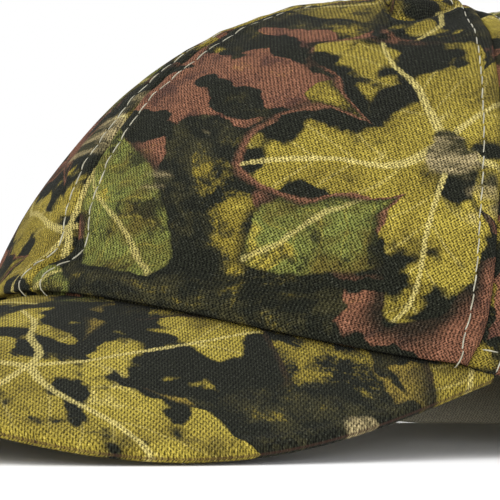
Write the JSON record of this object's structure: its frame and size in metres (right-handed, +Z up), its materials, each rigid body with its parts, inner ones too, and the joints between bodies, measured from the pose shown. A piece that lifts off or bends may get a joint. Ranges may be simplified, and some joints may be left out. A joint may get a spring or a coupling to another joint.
{
  "type": "camouflage baseball cap",
  "caption": "Soft cloth baseball cap in leaf camouflage twill with an arched, stiffened peak and a covered top button.",
  "frame": {"origin": "middle of the underside of the cap's box, on the surface that the cap rests on", "axes": "+Z up, -Y towards the tip of the peak, +X to the wearer's left"},
  "size_m": [0.164, 0.2696, 0.099],
  "materials": {
    "camo_twill": "cotton twill printed with an olive, black-green, rust and tan leaf camouflage, matte",
    "peak_twill": "the same printed cotton twill, drawn smooth over a stiff peak, matte",
    "button_twill": "the same printed cotton twill, a dark stretch of the print, matte",
    "thread": "pale ecru sewing thread, slightly lustrous"
  },
  "bodies": {
    "root": {"panel_front_left": "camo_twill", "panel_front_right": "camo_twill", "panel_side_left": "camo_twill", "panel_side_right": "camo_twill", "panel_rear_left": "camo_twill", "panel_rear_right": "camo_twill", "peak": "peak_twill", "top_button": "button_twill"}
  },
  "joints": []
}
